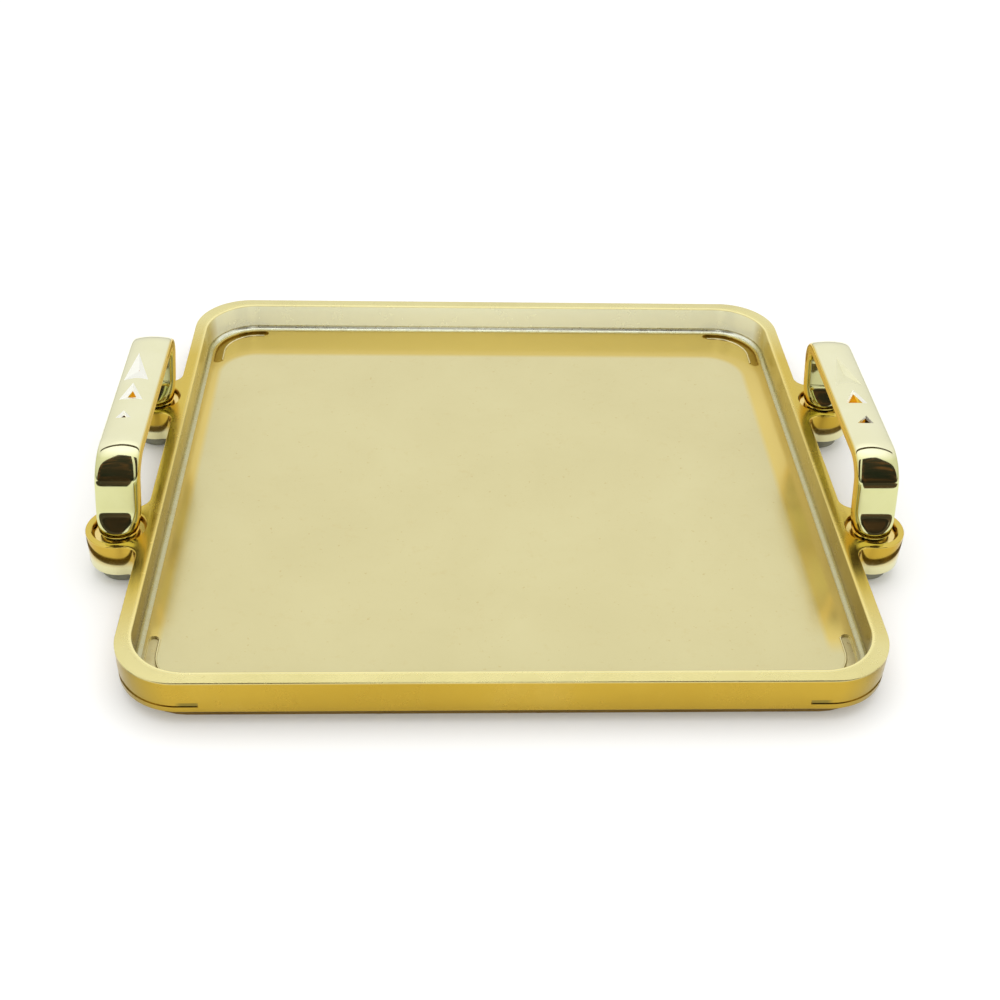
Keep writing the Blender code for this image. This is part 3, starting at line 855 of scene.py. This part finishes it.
def make_screw(name, node, x, y):
    low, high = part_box(node)
    head, shank, pitch = SCREW_HEAD, SCREW_SHANK, SCREW_PITCH
    turns = np.radians([0, 20, 40, 60, 78])
    dome = [(head * math.sin(t), low.z + 0.0011 * (1 - math.cos(t))) for t in turns]
    dome[0] = (0, low.z)
    head_top = low.z + 0.0022
    profile = dome + [(head, low.z + 0.0012), (head, head_top), (shank, head_top)]
    z = head_top + 0.003
    while z < high.z - 0.0012:
        profile += [(shank, z), (shank - 0.0003, z + pitch / 2)]
        z += pitch
    profile += [(shank, high.z - 0.0008), (shank - 0.0006, high.z), (0, high.z)]
    screw = turned(name + "_blank", x, y, profile, 48)
    bars = []
    for wide, deep in ((0.0055, 0.0011), (0.0011, 0.0055)):
        signs = ((-1, -1), (1, -1), (1, 1), (-1, 1))
        outline = [(x + sx * wide / 2, y + sy * deep / 2) for sx, sy in signs]
        bars.append(prism("cut_drive", [outline], low.z - 0.001, low.z + 0.0013))
    return piece(carve(screw, bars, name), STEEL, node)


make_rail()
make_floor()
make_lips()
make_seam()
for side, sx in SIDES:
    make_handle(side, sx)
    for end, sy in ENDS:
        x, y = sx * LUG_X, sy * LUG_Y
        place = end + "_" + side
        make_collar("seat_ring_" + place, "leg_collar_" + place, x, y)
        make_washer("plain_washer_" + place, "washer_" + place, x, y)
        make_foot("bumper_" + place, "foot_" + place, x, y)
        make_screw("handle_screw_" + place, "screw_" + place, x, y)


# ---------------------------------------------------------------- stage, lights and camera
# The surround's brightness, from the horizon and below (0) to straight up (1).
WORLD = ((0.0, 0.35), (0.08, 0.80), (0.45, 0.95), (0.75, 1.00), (0.92, 1.25), (1.0, 1.35))
STAGE_FRONT = -0.42
FLAG = ((0.228, STAGE_FRONT), (0.42, STAGE_FRONT), (0.42, -0.172), (0.228, -0.172))
RING_RADII = (0.0345, 0.0450)
SCREENS = (("left", -0.13, -0.95), ("right", 0.16, 1.20))
CAMERA_TURNS = (3.41945, 37.89437, 2.21106)
CAMERA_PLACE = (-0.03726582, -0.67875966, 0.51795868 + RAIL_BOTTOM)
CAMERA_LENS = 50.27


def make_stage():
    n = Nodes("stage_floor")
    color = n.ramp(n.noise(1.2, 2.0, 0.5), ((0.3, (0.90, 0.90, 0.895)), (0.7, (0.93, 0.93, 0.925))))
    rough = n.span(n.noise(4.0, 2.0, 0.5), 0.3, 0.7, 0.85, 0.95)
    material = n.finish(color, rough, metallic=0.0)
    mesh = bpy.data.meshes.new("stage_floor")
    corners = [(-3, STAGE_FRONT, 0), (3, STAGE_FRONT, 0), (3, 4, 0), (-3, 4, 0)]
    mesh.from_pydata(corners, [], [(0, 1, 2, 3)])
    mesh.materials.append(material)
    link("stage_floor", mesh)


def area_light(name, place, target, size, power):
    lamp = bpy.data.lights.new(name, "AREA")
    lamp.shape = "RECTANGLE"
    lamp.size, lamp.size_y = size
    lamp.energy = power
    made = link(name, lamp)
    made.location = place
    made.rotation_euler = (Vector(target) - Vector(place)).to_track_quat("-Z", "Y").to_euler()
    return made


def make_world():
    world = bpy.data.worlds.new("studio")
    bpy.context.scene.world = world
    world.use_nodes = True
    tree = world.node_tree
    coordinates = tree.nodes.new("ShaderNodeTexCoord")
    split = tree.nodes.new("ShaderNodeSeparateXYZ")
    tree.links.new(coordinates.outputs["Generated"], split.inputs["Vector"])
    ramp = tree.nodes.new("ShaderNodeValToRGB")
    while len(ramp.color_ramp.elements) < len(WORLD):
        ramp.color_ramp.elements.new(0.5)
    for element, (position, level) in zip(ramp.color_ramp.elements, WORLD):
        element.position = position
        element.color = (level, level, level * 0.99, 1.0)
    tree.links.new(split.outputs["Z"], ramp.inputs["Fac"])
    tree.links.new(ramp.outputs["Color"], tree.nodes["Background"].inputs["Color"])


def board(name, corners, material, hidden=True):
    """A flat piece of the studio; a hidden one is seen only as a reflection."""
    mesh = bpy.data.meshes.new(name)
    mesh.from_pydata(corners, [], [tuple(range(len(corners)))])
    mesh.materials.append(material)
    made = link(name, mesh)
    if hidden:
        for ray in ("camera", "diffuse", "shadow", "transmission", "volume_scatter"):
            setattr(made, "visible_" + ray, False)


def felt(name, stops, scale):
    n = Nodes(name)
    color = n.ramp(n.noise(scale, 3.0, 0.5), stops)
    rough = n.span(n.noise(8.0, 2.0, 0.5), 0.3, 0.7, 0.85, 0.95)
    return n.finish(color, rough, metallic=0.0)


def make_boards():
    """Dark boards for the polished brass to reflect, with rings round the lugs as a painted shadow seen
    only in reflection, and a brown board under the tray as a painted shadow.
    """
    near_black = ((0.35, (0.010, 0.014, 0.008)), (0.5, (0.035, 0.022, 0.012)), (0.65, (0.16, 0.065, 0.02)))
    dark = felt("dark_felt", near_black, 3.0)
    olive = felt("olive_felt", ((0.35, (0.06, 0.045, 0.012)), (0.65, (0.15, 0.105, 0.03))), 40.0)
    inner, outer = RING_RADII
    for side, sx in SIDES:
        board("flag_" + side, [(sx * x, y, 0.0006) for x, y in FLAG], dark)
        for end, sy in ENDS:
            # Painted shadow seen only in reflection: an olive ring round each lug stands for its shadow on
            # the floor.
            cx, cy = sx * LUG_X, sy * LUG_Y
            ring = arc(cx, cy, outer, -100, 100, 30) + arc(cx, cy, inner, 100, -100, 30)
            if sx < 0:
                ring = [(2 * cx - x, y) for x, y in ring]
            board("ring_" + end + "_" + side, [(x, y, 0.0007) for x, y in ring], olive)
    for side, near, far in SCREENS:
        wall = [(near, -1.0, -0.5), (far, -1.0, -0.5), (far, -1.0, 3.2), (near, -1.0, 3.2)]
        board("screen_" + side, wall, dark)
    board("beam", [(-3, 0.75, 3.0), (3, 0.75, 3.0), (3, 1.15, 3.0), (-3, 1.15, 3.0)], olive)
    # Painted shadow: a brown board under the tray, seen in the gap below the rail.
    brown = felt("painted_shadow_felt", ((0.3, (0.30, 0.19, 0.05)), (0.7, (0.36, 0.24, 0.07))), 30.0)
    under = [(x, y, 0.0004) for x, y in rounded_rectangle(0.192, 0.182, 0.03, 8)]
    board("under_tray_shadow", under, brown, hidden=False)


make_stage()
make_boards()
make_world()
overhead = area_light("overhead", (0.0, 0.2, 1.7), (0.0, 0.0, 0.0), (1.6, 1.2), 6.1)
overhead.visible_glossy = False
fill = area_light("fill", (0.0, -1.4, 0.65), (0.0, -0.1, 0.0), (1.8, 0.8), 4.5)
fill.visible_glossy = False


def make_camera():
    yaw, pitch, roll = (math.radians(turn) for turn in CAMERA_TURNS)
    forward = Vector((math.sin(yaw) * math.cos(pitch), math.cos(yaw) * math.cos(pitch), -math.sin(pitch)))
    level = Vector((math.cos(yaw), -math.sin(yaw), 0.0))
    upright = level.cross(forward)
    right = level * math.cos(roll) + upright * math.sin(roll)
    up = upright * math.cos(roll) - level * math.sin(roll)
    data = bpy.data.cameras.new("camera")
    data.sensor_width = 36.0
    data.lens = CAMERA_LENS
    data.clip_start = 0.01
    camera = link("camera", data)
    matrix = Matrix.Identity(4)
    for row in range(3):
        matrix[row][0], matrix[row][1], matrix[row][2] = right[row], up[row], -forward[row]
        matrix[row][3] = CAMERA_PLACE[row]
    camera.matrix_world = matrix
    bpy.context.scene.camera = camera


make_camera()
bpy.context.scene.view_settings.view_transform = "Standard"
